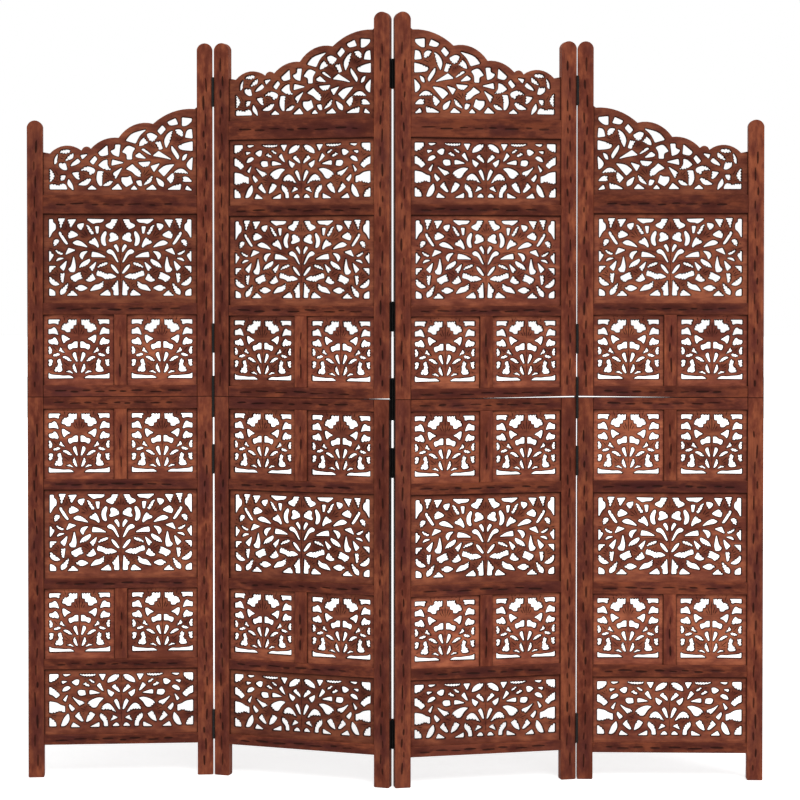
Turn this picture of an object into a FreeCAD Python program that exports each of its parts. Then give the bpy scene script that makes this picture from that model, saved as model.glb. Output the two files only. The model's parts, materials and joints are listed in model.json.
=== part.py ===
import FreeCAD, Part
import math
import os

Vector = FreeCAD.Vector

# A four-leaf folding screen of carved wood, standing half open on the floor.
# Sizes are in millimetres. Leaves a, b, c and d run from left to right.

# Frame of one leaf
leaf_width = 400.0
frame_thickness = 20.0
stile_width = 34.0
muntin_width = 27.0
stile_arch_rise = 14.0

# Rails: the lowest and those under the split and the crest are alike in all leaves. The others,
# in the lower and in the upper half, differ a little from leaf to leaf.
split_height = 827.0
bottom_rail_height = 21.5
split_rail_height = 26.0
crest_rail_height = 40.0
rail_heights = {"a": (22.0, 25.0), "b": (22.5, 22.5), "c": (24.0, 22.5), "d": (26.0, 25.0)}

# Clear height of each kind of opening between rails
square_height = 153.4
tree_height = 193.6
medium_height = 142.5

# Scalloped crest above the top rail, and how far the stiles stand above it
crest_height = 192.0
crest_low_percent = 48.5
outer_stile_rise = 68.0
fold_stile_rise = 77.0
centre_stile_rise = 32.5

# Joinery
panel_thickness = 8.0
groove_depth = 6.0
groove_play = 0.15
tongue_play = 0.4
tenon_length = 20.0
tenon_inset = 1.0
mortise_play = 0.2

# Plain border round the pierced field of a panel
border_side = 11.0
border_top = 11.0
border_bottom = 15.0

# Butt hinges on the edges of the stiles
hinge_height = 62.0
hinge_gap = 1.4
plate_width = 16.0
plate_thickness = 0.5
barrel_radius = 3.0
barrel_proud = 3.4
knuckle_count = 5
knuckle_gap = 0.3
knuckle_relief = 0.4
pin_radius = 1.5
pin_play = 0.05
pin_head_radius = 2.6
pin_head_height = 1.2

# Middle of each hinge, measured from the floor, the split and the stile top
foot_hinge_height = 112.0
hinge_below_split = 136.0
side_hinge_above_split = 127.0
centre_hinge_above_split = 176.0
side_hinge_below_top = 106.0
centre_hinge_below_top = 130.0

# Iron straps that join the upper and lower half of a leaf; at a fold they are long hinges
strap_length = 88.0
strap_knuckle_count = 7
strap_screw_places = (-34.0, -14.0, 14.0, 34.0)
screw_radius = 1.6
screw_length = 14.0
screw_head_radius = 3.4
screw_head_height = 0.15
screw_play = 0.1

# How far each leaf turns out of the plane of the screen, in degrees
leaf_turns = {"a": 4.0, "b": -18.0, "c": 12.0, "d": -1.7}

# Saw cuts of the fretwork, one outline to a line. Points are percent of the half width
# to the right of the middle and percent of the height of the pierced field.
square_cuts = (
    "57,100 100,100 100,91 84,94 70,91",
    "8,100 33,100 38,93 57,88 42,78 28,79 20,86 10,92",
    "79,88 100,83 100,74 68,73",
    "27,67 52,74 57,72 50,60",
    "78,69 100,64 98,57 68,57",
    "4,63 17,63 35,57 33,49 4,51",
    "61,54 66,49 46,43",
    "100,54 88,47 100,41",
    "62,41 71,44 85,38",
    "10,45 21,42 5,28",
    "24,30 36,38 52,37 31,28",
    "63,34 69,27 80,11 58,10 54,17 58,24",
    "86,32 100,33 100,21 88,21",
    "16,26 21,20 5,9",
    "19,9 29,14 40,11",
    "17,0 98,0 98,7 30,5",
)
tree_cuts = (
    "2,99 10,99 19,94 20,90 12,87",
    "21,99 46,99 38,94 28,95",
    "28,89 34,90 31,81",
    "45,92 47,89 37,80 40,87",
    "50,94 57,95 61,89 56,85",
    "62,99 72,99 69,89",
    "76,99 86,99 82,88",
    "94,99 99,99 98,75 89,85 90,93",
    "66,86 73,79 70,75 58,80",
    "82,84 85,80 75,67 72,67",
    "85,72 92,73 91,64",
    "19,84 26,75 24,64 20,66 21,76",
    "11,82 16,71 13,69 2,73 3,77",
    "35,76 44,70 30,63",
    "46,64 58,73 65,69 60,66",
    "63,60 71,63 76,54",
    "80,54 86,60 92,59",
    "100,60 92,53 100,45",
    "79,50 87,49 83,45",
    "44,58 53,58 57,52 53,48",
    "20,50 29,56 39,57 40,51",
    "2,43 9,56 14,62 19,58 11,54",
    "1,57 5,67 10,65",
    "17,43 24,44 32,37 25,38",
    "32,45 39,42 43,36 39,33",
    "42,48 55,42 55,37 49,38",
    "65,52 71,35 66,31 62,36",
    "74,46 80,44 84,38 78,33",
    "90,37 100,39 100,31",
    "2,29 12,41 9,34",
    "6,24 13,29 31,33 32,26 21,20",
    "37,29 41,29 47,20 35,21",
    "55,32 69,24 62,19 53,22",
    "77,29 82,30 83,20 80,18",
    "100,25 94,25 85,14 100,18",
    "4,20 8,20 12,10 8,2 2,2",
    "25,20 37,14 41,6 24,10",
    "46,11 54,16 64,11 54,6",
    "74,18 84,7 83,2 74,10",
    "13,1 13,6 20,8 27,1",
    "60,1 67,8 73,1",
    "91,2 92,7 99,9 99,1",
)
medium_cuts = (
    "3,95 6,100 18,91 19,83 11,85",
    "22,98 30,97 26,87",
    "35,94 36,97 57,99 52,94",
    "37,82 44,89 46,87",
    "44,78 50,84 53,80",
    "59,89 66,89 68,82 60,77",
    "72,98 79,99 79,94",
    "76,84 82,86 82,81",
    "87,99 99,99 99,86 87,89",
    "99,76 88,67 88,56 99,62",
    "71,72 75,77 81,71 76,67",
    "75,60 80,51 78,47",
    "50,70 60,70 60,57 51,58",
    "29,63 35,68 44,69 43,62",
    "24,67 28,82 33,78",
    "2,63 7,80 13,75",
    "10,63 19,70 14,57",
    "1,32 5,52 10,51",
    "7,28 18,46 27,38 27,31 14,34",
    "25,52 30,55 46,48 42,35 35,35",
    "51,44 62,49 69,58 59,38",
    "64,33 72,43 70,31",
    "99,47 78,38 82,25 99,27",
    "5,17 10,21 14,11",
    "28,25 29,17 23,8 23,1 18,1 20,15",
    "35,22 42,29 48,9 42,11",
    "58,28 64,20 52,9 55,18",
    "74,26 79,20 84,1 72,13",
    "30,0 30,8 43,0",
    "57,0 66,8 70,0",
    "2,0 6,7 12,0",
    "99,19 90,10 90,1 99,1",
)

# The crest is not symmetrical: here 0 is its middle and -100 its low end.
crest_cuts = (
    "-91,29 -85,24 -86,19 -91,15",
    "-91,6 -91,12 -74,13 -69,6",
    "-81,46 -84,35 -86,40",
    "-79,47 -75,51 -64,51 -67,48",
    "-71,38 -66,46 -61,48 -59,43",
    "-64,32 -55,41 -51,38 -58,33",
    "-79,36 -71,36 -69,29 -76,28",
    "-78,22 -70,23 -73,16 -78,17",
    "-52,45 -42,46 -49,40",
    "-62,24 -54,27 -53,18 -58,19",
    "-67,18 -62,12 -62,8 -69,12",
    "-54,12 -42,19 -38,18 -43,11",
    "-52,28 -44,34 -32,30 -39,23",
    "-39,38 -32,44 -30,41 -34,35",
    "-28,48 -16,56 -16,46 -25,44",
    "-12,49 -6,57 0,57 -2,45",
    "-27,34 -17,40 -12,29 -19,28",
    "-10,40 4,37 -2,34 -11,34",
    "-29,27 -22,27 -24,11 -27,11 -31,18",
    "-22,11 -15,16 -10,16 -14,11",
    "-10,26 2,31 -6,19",
    "-42,6 -35,12 -30,6",
    "-12,6 -3,13 2,6",
    "3,50 10,56 19,52 15,41 8,41",
    "8,61 14,69 33,74 26,69 22,59",
    "25,57 30,65 36,60 28,54",
    "35,69 42,71 48,67 40,60",
    "48,73 53,80 59,76 53,69",
    "62,83 71,87 74,81 66,78",
    "81,88 93,88 87,79 80,79",
    "72,74 79,75 82,67 75,69",
    "88,73 93,75 93,65 86,66",
    "57,60 62,70 68,73 60,54",
    "47,60 53,61 55,52 51,53",
    "28,53 36,51 40,45",
    "20,44 25,48 32,42 21,42",
    "43,45 50,49 67,40 50,42",
    "66,50 69,56 77,44 75,41",
    "76,56 93,61 93,51 78,52",
    "81,43 86,47 82,39",
    "93,43 86,35 93,29",
    "24,37 40,39 36,33 28,32",
    "39,32 44,36 52,36 44,26",
    "50,27 57,34 71,35 58,22",
    "70,27 78,31 87,26 79,25",
    "8,29 18,35 26,28 27,21 17,27",
    "2,20 13,22 16,14 8,10 2,15",
    "31,12 37,19 42,22 40,15",
    "20,15 28,17 28,10 23,11",
    "47,20 57,15 57,10 51,10",
    "61,18 69,25 68,16 65,14",
    "82,21 89,22 93,15 82,15",
    "62,6 66,11 79,14 79,6",
    "14,6 18,11 22,6",
    "34,6 42,12 47,6",
    "85,6 86,11 90,10 93,6",
)

# Scallops of the crest's top edge: where each starts, and the crown of its arc
crest_scallops = (
    ((-91.0, 47.0), (-70.0, 56.0)),
    ((-50.0, 50.5), (-44.0, 55.0)),
    ((-38.0, 52.5), (-19.0, 63.5)),
    ((-2.0, 65.0), (18.0, 79.5)),
    ((43.0, 81.0), (67.0, 94.0)),
)
crest_scallop_end = (97.0, 98.0)

# Sizes that follow from those above
outer_leaves = ("a", "d")
inner_width = leaf_width - 2 * stile_width
square_width = (inner_width - muntin_width) / 2
opening_heights = {"square": square_height, "tree": tree_height, "medium": medium_height}
panel_front = (frame_thickness - panel_thickness) / 2
slot_front = panel_front - groove_play
slot_back = frame_thickness - slot_front
tongue = groove_depth - tongue_play
tenon_shoulder = groove_depth + tenon_inset
right_edge = leaf_width - stile_width
mid_thickness = frame_thickness / 2
crest_low_height = crest_height * crest_low_percent / 100


def block(x0, x1, y0, y1, z0, z1):
    return Part.makeBox(x1 - x0, y1 - y0, z1 - z0, Vector(x0, y0, z0))


def mirrored(shape):
    """The same piece for the other side of the leaf."""
    return shape.mirror(Vector(leaf_width / 2, 0, 0), Vector(1, 0, 0))


def courses(start, names, sizes):
    """Rails of given heights and the openings between them, stacked upwards in half a leaf."""
    rails = []
    openings = []
    height = start
    for name, size in zip(names, sizes):
        rails.append((height, size))
        height += size
        openings.append((name, height))
        height += opening_heights[name]
    rails.append((height, sizes[-1]))
    return rails, openings, height + sizes[-1]


def lower_courses(leaf):
    """The lower half ends at the split, and its legs take up what is left below."""
    names = ("medium", "square", "tree", "square")
    sizes = [bottom_rail_height] + 3 * [rail_heights[leaf][0]] + [split_rail_height]
    stack_height = courses(0, names, sizes)[2]
    return courses(split_height - stack_height, names, sizes)


def upper_courses(leaf):
    names = ("square", "tree") if leaf in outer_leaves else ("square", "tree", "medium")
    sizes = len(names) * [rail_heights[leaf][1]] + [crest_rail_height]
    return courses(split_height, names, sizes)


outer_crest_base = upper_courses("a")[2]
inner_crest_base = upper_courses("b")[2]
outer_stile_top = outer_crest_base + crest_low_height + outer_stile_rise
fold_stile_top = inner_crest_base + crest_low_height + fold_stile_rise
centre_stile_top = inner_crest_base + crest_height + centre_stile_rise


def stile(outline, groove, rails, screw_side):
    """Left stile piece: its outline, less the panel groove, mortises and screw holes."""
    body = Part.Face(outline).extrude(Vector(0, frame_thickness, 0))
    inner = stile_width
    cutters = [block(inner - groove_depth, inner, slot_front, slot_back, *groove)]
    for height, rail_size in rails:
        low = height + tenon_shoulder - mortise_play
        high = height + rail_size - tenon_shoulder + mortise_play
        deep = inner - tenon_length - mortise_play
        cutters.append(block(deep, inner, slot_front, slot_back, low, high))
    for place in strap_screw_places:
        if (place > 0) == screw_side:
            start = Vector(0, mid_thickness, split_height + place)
            depth = screw_length - plate_thickness + screw_play
            cutters.append(Part.makeCylinder(screw_radius + screw_play, depth, start, Vector(1, 0, 0)))
    return body.cut(cutters)


def lower_stile(rails):
    corners = ((0, 0), (stile_width, 0), (stile_width, split_height), (0, split_height), (0, 0))
    outline = Part.makePolygon([Vector(x, 0, z) for x, z in corners])
    first_height, first_size = rails[0]
    groove = (first_height + first_size - groove_depth, split_height - split_rail_height + groove_depth)
    return stile(outline, groove, rails, False)


def upper_stile(top, crest_base, shoulder_height, rails):
    """Upper piece with an arched top and a groove that stops where the crest does."""
    spring = top - stile_arch_rise
    left_foot = Vector(0, 0, split_height)
    right_foot = Vector(stile_width, 0, split_height)
    right_spring = Vector(stile_width, 0, spring)
    left_spring = Vector(0, 0, spring)
    crown = Vector(stile_width / 2, 0, top)
    outline = Part.Wire([
        Part.LineSegment(left_foot, right_foot).toShape(),
        Part.LineSegment(right_foot, right_spring).toShape(),
        Part.Arc(right_spring, crown, left_spring).toShape(),
        Part.LineSegment(left_spring, left_foot).toShape(),
    ])
    groove = (split_height + rails[0][1] - groove_depth, crest_base + shoulder_height + tongue_play)
    return stile(outline, groove, rails, True)


def rail(height, size, below, above):
    """Rail with a tenon at each end, grooved where a panel meets it."""
    body = block(stile_width, right_edge, 0, frame_thickness, height, height + size)
    tenon = block(stile_width - tenon_length, right_edge + tenon_length, panel_front,
                  frame_thickness - panel_front, height + tenon_shoulder, height + size - tenon_shoulder)
    grooves = []
    if below:
        grooves.append((height, height + groove_depth))
    if above:
        grooves.append((height + size - groove_depth, height + size))
    cutters = [block(stile_width, right_edge, slot_front, slot_back, *span) for span in grooves]
    return body.fuse(tenon).cut(cutters).removeSplitter()


def rail_set(rails, crowned):
    """All rails of one half; the last of a crowned half carries the crest."""
    last = len(rails) - 1
    pieces = []
    for index, (height, size) in enumerate(rails):
        pieces.append(rail(height, size, index > 0, index < last or crowned))
    return pieces


def muntin(height):
    """Upright between two square panels, with stub tenons in the rails' grooves."""
    left = stile_width + square_width
    right = left + muntin_width
    top = height + square_height
    body = block(left, right, 0, frame_thickness, height, top)
    stub = block(left + groove_depth, right - groove_depth, panel_front,
                 frame_thickness - panel_front, height - tongue, top + tongue)
    cutters = [
        block(left, left + groove_depth, slot_front, slot_back, height, top),
        block(right - groove_depth, right, slot_front, slot_back, height, top),
    ]
    return body.fuse(stub).cut(cutters).removeSplitter()


def read_cut(line):
    return [tuple(float(value) for value in point.split(",")) for point in line.split()]


def both_sides(lines):
    """Cuts of a symmetrical panel: each outline and its mirror image."""
    cuts = []
    for line in lines:
        outline = read_cut(line)
        cuts.append(outline)
        cuts.append([(-x, y) for x, y in outline])
    return cuts


def closed_polygon(points):
    corners = [Vector(x, panel_front, z) for x, z in points]
    return Part.makePolygon(corners + corners[:1])


def pierced(outline, holes):
    """Panel cut from a board: its outline less the saw cuts."""
    board = Part.Face([outline] + holes)
    return board.extrude(Vector(0, panel_thickness, 0))


def fret_panel(width, height, cuts):
    """Panel with its lower left sight corner at the origin, tongues all round."""
    outline = closed_polygon((
        (-tongue, -tongue), (width + tongue, -tongue),
        (width + tongue, height + tongue), (-tongue, height + tongue)))
    half_field = width / 2 - border_side
    field_height = height - border_bottom - border_top
    holes = []
    for cut in cuts:
        points = [(width / 2 + x / 100 * half_field, border_bottom + y / 100 * field_height)
                  for x, y in cut]
        holes.append(closed_polygon(points))
    return pierced(outline, holes)


def crest_panel():
    """Crest rising to the right, its lower left sight corner at the origin."""
    def place(point):
        return Vector((point[0] + 100) / 200 * inner_width, panel_front, point[1] / 100 * crest_height)

    low_shoulder = place((-100, crest_low_percent))
    high_shoulder = place((100, 100))
    starts = [place(start) for start, crown in crest_scallops] + [place(crest_scallop_end)]
    low_foot = Vector(-tongue, panel_front, -tongue)
    high_foot = Vector(inner_width + tongue, panel_front, -tongue)
    low_side = Vector(-tongue, panel_front, low_shoulder.z)
    high_side = Vector(inner_width + tongue, panel_front, high_shoulder.z)
    straight = [starts[-1], high_shoulder, high_side, high_foot, low_foot, low_side, low_shoulder, starts[0]]
    edges = [Part.LineSegment(a, b).toShape() for a, b in zip(straight, straight[1:])]
    for index, (start, crown) in enumerate(crest_scallops):
        edges.append(Part.Arc(starts[index], place(crown), starts[index + 1]).toShape())
    outline = Part.Wire(Part.__sortEdges__(edges))
    holes = []
    for line in crest_cuts:
        points = [place(point) for point in read_cut(line)]
        holes.append(Part.makePolygon(points + points[:1]))
    return pierced(outline, holes)


def moved(shape, x, z):
    copy = shape.copy()
    copy.translate(Vector(x, 0, z))
    return copy


def strap_holes():
    """Room for a strap's screws, on the left edge."""
    holes = []
    for place in strap_screw_places:
        start = Vector(-plate_thickness, mid_thickness, split_height + place)
        holes.append(Part.makeCylinder(screw_radius + screw_play, plate_thickness, start, Vector(1, 0, 0)))
    return holes


def end_strap():
    """Plain strap on the left edge, across the split."""
    half = strap_length / 2
    plate = block(-plate_thickness, 0, mid_thickness - plate_width / 2, mid_thickness + plate_width / 2,
                  split_height - half, split_height + half)
    return plate.cut(strap_holes())


def hinged_strap(odd, right_hand, at_back):
    """Strap at a fold, where it is also a hinge leaf."""
    plate = on_edge(hinge_leaf(odd, strap_length, strap_knuckle_count), right_hand, at_back)
    holes = [mirrored(hole) if right_hand else hole for hole in strap_holes()]
    return moved(plate, 0, split_height).cut(holes)


def strap_screws():
    screws = []
    for place in strap_screw_places:
        height = split_height + place
        seat = Vector(-plate_thickness, mid_thickness, height)
        shank = Part.makeCylinder(screw_radius, screw_length, seat, Vector(1, 0, 0))
        head = Part.makeCylinder(screw_head_radius, screw_head_height, seat, Vector(-1, 0, 0))
        screws.append(shank.fuse(head).removeSplitter())
    return screws


def knuckle_spans(odd, length, count):
    """Heights of one leaf's knuckles along a hinge whose middle is at zero."""
    pitch = length / count
    spans = []
    for index in range(count):
        if (index % 2 == 1) == odd:
            low = -length / 2 + index * pitch
            spans.append((low + knuckle_gap / 2, low + pitch - knuckle_gap / 2))
    return spans


def hinge_leaf(odd, length, count):
    """Hinge leaf for the board on the right of the pin, which stands at the origin."""
    outside = hinge_gap / 2
    inside = outside - plate_thickness
    root = barrel_radius + knuckle_relief
    plate_end = barrel_proud + plate_width
    plate = block(inside, outside, root, plate_end, -length / 2, length / 2)
    knuckles = []
    for low, high in knuckle_spans(odd, length, count):
        outer_root = Vector(outside, root, low)
        outer_bend = Vector(outside, math.sqrt(barrel_radius ** 2 - outside ** 2), low)
        inner_bend = Vector(inside, math.sqrt(barrel_radius ** 2 - inside ** 2), low)
        inner_root = Vector(inside, root, low)
        outline = Part.Wire([
            Part.LineSegment(outer_root, outer_bend).toShape(),
            Part.Arc(outer_bend, Vector(0, -barrel_radius, low), inner_bend).toShape(),
            Part.LineSegment(inner_bend, inner_root).toShape(),
            Part.LineSegment(inner_root, outer_root).toShape(),
        ])
        bore = Part.Wire(Part.makeCircle(pin_radius + pin_play, Vector(0, 0, low)))
        knuckles.append(Part.Face([outline, bore]).extrude(Vector(0, 0, high - low)))
    return plate.fuse(knuckles).removeSplitter()


def hinge_pin(length):
    half = length / 2 - knuckle_gap / 2
    shank = Part.makeCylinder(pin_radius, 2 * half, Vector(0, 0, -half))
    top = Part.makeCylinder(pin_head_radius, pin_head_height, Vector(0, 0, half))
    bottom = Part.makeCylinder(pin_head_radius, pin_head_height, Vector(0, 0, -half - pin_head_height))
    return shank.fuse([top, bottom]).removeSplitter()


def hinge_heights(centre_fold):
    if centre_fold:
        return (foot_hinge_height, split_height - hinge_below_split,
                split_height + centre_hinge_above_split, centre_stile_top - centre_hinge_below_top)
    return (foot_hinge_height, split_height - hinge_below_split,
            split_height + side_hinge_above_split, fold_stile_top - side_hinge_below_top)


def on_edge(shape, right_hand, at_back):
    """Sets a hinge piece, made for a left edge and a front pin, on the edge it belongs to."""
    placed = shape.copy()
    if at_back:
        placed = placed.mirror(Vector(0, 0, 0), Vector(0, 1, 0))
    if right_hand:
        placed = placed.mirror(Vector(0, 0, 0), Vector(1, 0, 0))
    pivot = pivot_point(right_hand, at_back)
    placed.translate(pivot)
    return placed


def pivot_point(right_hand, at_back):
    """Pin position in a leaf's own frame, beside one of its edges."""
    across = leaf_width + hinge_gap / 2 if right_hand else -hinge_gap / 2
    depth = frame_thickness + barrel_proud if at_back else -barrel_proud
    return Vector(across, depth, 0)


panels = {
    "square": fret_panel(square_width, square_height, both_sides(square_cuts)),
    "tree": fret_panel(inner_width, tree_height, both_sides(tree_cuts)),
    "medium": fret_panel(inner_width, medium_height, both_sides(medium_cuts)),
}
crest = crest_panel()
strap_screw_set = strap_screws()
pin_piece = hinge_pin(hinge_height)
strap_pin = hinge_pin(strap_length)


def wooden_pieces(leaf):
    """Wood and strap screws of a leaf whose crest rises to the right."""
    outer = leaf in outer_leaves
    lower_rails, lower_openings, _ = lower_courses(leaf)
    upper_rails, upper_openings, crest_base = upper_courses(leaf)
    low_top = outer_stile_top if outer else fold_stile_top
    high_top = fold_stile_top if outer else centre_stile_top
    lower = lower_stile(lower_rails)
    pieces = {
        "lower_left_stile": [lower],
        "lower_right_stile": [mirrored(lower)],
        "upper_left_stile": [upper_stile(low_top, crest_base, crest_low_height, upper_rails)],
        "upper_right_stile": [mirrored(upper_stile(high_top, crest_base, crest_height, upper_rails))],
        "lower_rails": rail_set(lower_rails, False),
        "upper_rails": rail_set(upper_rails, True),
        "muntins": [],
        "square_panels": [],
        "tree_panels": [],
        "medium_panels": [],
        "crest_panel": [moved(crest, stile_width, crest_base)],
        "strap_screws": strap_screw_set + [mirrored(screw) for screw in strap_screw_set],
    }
    for name, height in lower_openings + upper_openings:
        pieces[name + "_panels"].append(moved(panels[name], stile_width, height))
        if name == "square":
            second = stile_width + square_width + muntin_width
            pieces["square_panels"].append(moved(panels[name], second, height))
            pieces["muntins"].append(muntin(height))
    return pieces


def mirrored_leaf(pieces):
    """The matching leaf of the other half of the screen; left and right change places."""
    swapped = {}
    for name, solids in pieces.items():
        words = ["right" if word == "left" else "left" if word == "right" else word
                 for word in name.split("_")]
        swapped["_".join(words)] = [mirrored(solid) for solid in solids]
    return swapped


def hinge_set(shape, right_hand, at_back):
    return [moved(on_edge(shape, right_hand, at_back), 0, height) for height in hinge_heights(at_back)]


def pin_set(right_hand, at_back):
    """Pins of all hinges at one edge, the strap's among them."""
    long_pin = moved(on_edge(strap_pin, right_hand, at_back), 0, split_height)
    return hinge_set(pin_piece, right_hand, at_back) + [long_pin]


leaves = {
    "a": wooden_pieces("a"),
    "b": wooden_pieces("b"),
    "c": mirrored_leaf(wooden_pieces("c")),
    "d": mirrored_leaf(wooden_pieces("d")),
}
for pieces in leaves.values():
    pieces["straps"] = []
    pieces["hinge_leaves"] = []
leaves["a"]["straps"].append(end_strap())
leaves["d"]["straps"].append(mirrored(end_strap()))

# At each fold one leaf has the outer knuckles and the pins, and its neighbour those between
folds = (("a", "b", False), ("b", "c", True), ("c", "d", False))
pin_leaves = {"ab": "b", "bc": "b", "cd": "c"}
for first, second, at_back in folds:
    for leaf_name, right_hand in ((first, True), (second, False)):
        odd = leaf_name != pin_leaves[first + second]
        plate = hinge_leaf(odd, hinge_height, knuckle_count)
        leaves[leaf_name]["straps"].append(hinged_strap(odd, right_hand, at_back))
        leaves[leaf_name]["hinge_leaves"] += hinge_set(plate, right_hand, at_back)
        if not odd:
            side = "right" if right_hand else "left"
            leaves[leaf_name][side + "_hinge_pins"] = pin_set(right_hand, at_back)


def turned(point, turn):
    angle = math.radians(turn)
    return Vector(point.x * math.cos(angle) - point.y * math.sin(angle),
                  point.x * math.sin(angle) + point.y * math.cos(angle), 0)


# Each leaf hangs on the pins it shares with the one before it
origins = {"a": Vector(0, 0, 0)}
pivots = {}
for first, second, at_back in folds:
    pin = origins[first] + turned(pivot_point(True, at_back), leaf_turns[first])
    pivots["fold_" + first + second] = pin
    origins[second] = pin - turned(pivot_point(False, at_back), leaf_turns[second])

nodes = {}
for leaf_name, pieces in leaves.items():
    rotation = FreeCAD.Rotation(Vector(0, 0, 1), leaf_turns[leaf_name])
    placement = FreeCAD.Placement(origins[leaf_name], rotation)
    for piece_name, solids in pieces.items():
        node = Part.makeCompound(solids)
        node.Placement = placement
        nodes["leaf_" + leaf_name + "_" + piece_name] = node

# The origin is on the floor under the middle of the standing screen
box = Part.makeCompound(list(nodes.values())).BoundBox
shift = Vector(-box.Center.x, -box.Center.y, -box.ZMin)
os.makedirs("parts", exist_ok=True)
for name, node in nodes.items():
    node.translate(shift)
    node.exportStep("parts/" + name + ".step")
for name, pin in pivots.items():
    print(name, round(pin.x + shift.x, 4), round(pin.y + shift.y, 4))
print("size", round(box.XLength, 2), round(box.YLength, 2), round(box.ZLength, 2), "nodes", len(nodes))
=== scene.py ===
import json
import math
import random

import bpy
import numpy as np
from mathutils import Matrix, Vector
from mathutils.geometry import delaunay_2d_cdt


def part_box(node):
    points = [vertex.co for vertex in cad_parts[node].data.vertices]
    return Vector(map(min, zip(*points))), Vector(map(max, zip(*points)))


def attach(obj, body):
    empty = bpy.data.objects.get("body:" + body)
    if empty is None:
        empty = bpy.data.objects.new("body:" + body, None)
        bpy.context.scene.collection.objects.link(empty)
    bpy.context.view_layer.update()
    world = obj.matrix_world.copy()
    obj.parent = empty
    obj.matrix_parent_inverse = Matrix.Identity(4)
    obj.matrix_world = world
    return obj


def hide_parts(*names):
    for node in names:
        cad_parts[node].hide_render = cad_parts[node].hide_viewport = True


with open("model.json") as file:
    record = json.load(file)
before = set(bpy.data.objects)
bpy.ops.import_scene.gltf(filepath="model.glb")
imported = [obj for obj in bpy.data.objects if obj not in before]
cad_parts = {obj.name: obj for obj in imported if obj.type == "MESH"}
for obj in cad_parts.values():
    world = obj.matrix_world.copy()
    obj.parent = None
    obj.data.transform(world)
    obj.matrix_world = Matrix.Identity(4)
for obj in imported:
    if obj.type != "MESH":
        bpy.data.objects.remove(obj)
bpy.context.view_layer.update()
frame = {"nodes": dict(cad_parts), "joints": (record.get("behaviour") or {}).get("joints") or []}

# Carved wooden folding screen of four leaves, a to d from left to right. Sizes in metres.

# Frame of one leaf
leaf_width = 0.400
frame_thickness = 0.020
stile_width = 0.034
muntin_width = 0.027
stile_arch_rise = 0.014
opening_heights = {"square": 0.1534, "tree": 0.1936, "medium": 0.1425}
crest_height = 0.192
crest_low_percent = 48.5

# Rails of the lower and the upper half of each leaf, the lowest, and those under the split and the crest
rail_heights = {
    "a": (0.0220, 0.0250),
    "b": (0.0225, 0.0225),
    "c": (0.0240, 0.0225),
    "d": (0.0260, 0.0250),
}
bottom_rail_height = 0.0215
split_rail_height = 0.026
crest_rail_height = 0.040

# Panels, with a tongue hidden in the frame and a plain border round the pierced field
panel_thickness = 0.008
tongue = 0.002
border_side = 0.011
border_top = 0.011
border_bottom = 0.015

# Carving, and the painted shadow where a panel meets the frame at its sides and top, the shade the frame
# casts into the sunk panel
frame_bevel = 0.0012
cut_bevel = 0.0026
cut_slope = 0.0024
cut_corner = 0.0018
cut_growth = {"square": 0.0001, "tree": 0.0007, "medium": 0.0006, "crest": 0.0007}
foot_corner = 0.003
stem_half_width = 0.0008
stem_depth = 0.0007
carving_room = 0.0004
search_step = 0.0008
gouge_step = 0.0035
shortest_gouge_steps = 5
shadow_line_at_side = 0.0034
shadow_line_at_top = 0.0050

# Edges moved into the wood: share of the room to the next edge that they may take, share of their width
# that has to stay free, and how often and how far they narrow where they don't fit or cross
growth_room_share = 0.2
bevel_room_share = 0.30
free_share = 0.8
fit_tries = 4
fit_narrowing = 0.55
crossing_tries = 30
crossing_narrowing = 0.5
corner_limit = 0.6

# Corners of openings: the cosine below which they count as blunt, and the share of an edge that is eased
blunt_cosine = -0.3
blunt_share = 0.48
sharp_share = 0.38

# Blossoms: saw teeth, petal lines that fan out from a root, in degrees and in blossom radii, and shading
tooth_pitch = 0.0062
tooth_height = 0.0019
tooth_share = 0.7
tooth_reach = 1.25
shortest_tooth_start = 0.0003
petal_half_width = 0.0011
petal_depth = 0.0009
petal_turn = 24
petal_root = 0.75
petal_start = 0.3
petal_end = 1.9
blossom_shade = 0.10
shade_reach = 1.2
shade_slope = 3

# Chisel cuts along stiles and rails: length, gap to the next, distance from the middle line
stile_chips = {"lengths": (0.016, 0.036), "gaps": (0.002, 0.014), "spread": 0.0040}
rail_chips = {"lengths": (0.018, 0.036), "gaps": (0.002, 0.014), "spread": 0.0018}
chip_half_width = 0.0038
chip_depth = 0.0015
chip_lean = 0.0008
chip_margin = 0.014
chip_step = 0.004
chip_offsets = (0.2, 1.0)
chip_fullness = (0.6, 1.0)
chip_stains = (0.6, 1.0)

# Dark stain and painted shade, and rubbed wear, of the wood from 0 to 1: the rims of openings and gouges,
# the outline and its wall; and the angle up to which edges look smooth
cut_edge_stain_and_shade = 0.15
cut_edge_wear = 0.2
outline_edge_wear = 0.4
outline_wall_stain = 0.1
outline_wall_wear = 0.6
smooth_angle = 28

# Gap between the two halves of a leaf: where it starts and ends along the width, and its size there;
# and the straight stretches in which a rail's edge follows it
split_slits = {
    "b": ((0.33, 0.0), (0.40, 0.0026)),
    "c": ((0.08, 0.0), (0.40, 0.0032)),
    "d": ((0.00, 0.0032), (0.30, 0.0)),
}
slit_steps = 4

# Hinge pins beside a leaf's edge, and the screws of the hinge plates
pin_beside = 0.0007
pin_proud = 0.0034
plate_width = 0.016
plate_thickness = 0.0005
hinge_screw_pitch = 0.022
hinge_screw_radius = 0.0028
hinge_screw_rise = 0.00015
hinge_screw_corners = 12

# Middles of the hinges, from the floor, the split and the top of the stile
foot_hinge_height = 0.112
hinge_below_split = 0.136
hinge_above_split = {"side": 0.127, "centre": 0.176}
hinge_below_top = {"side": 0.106, "centre": 0.130}

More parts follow.
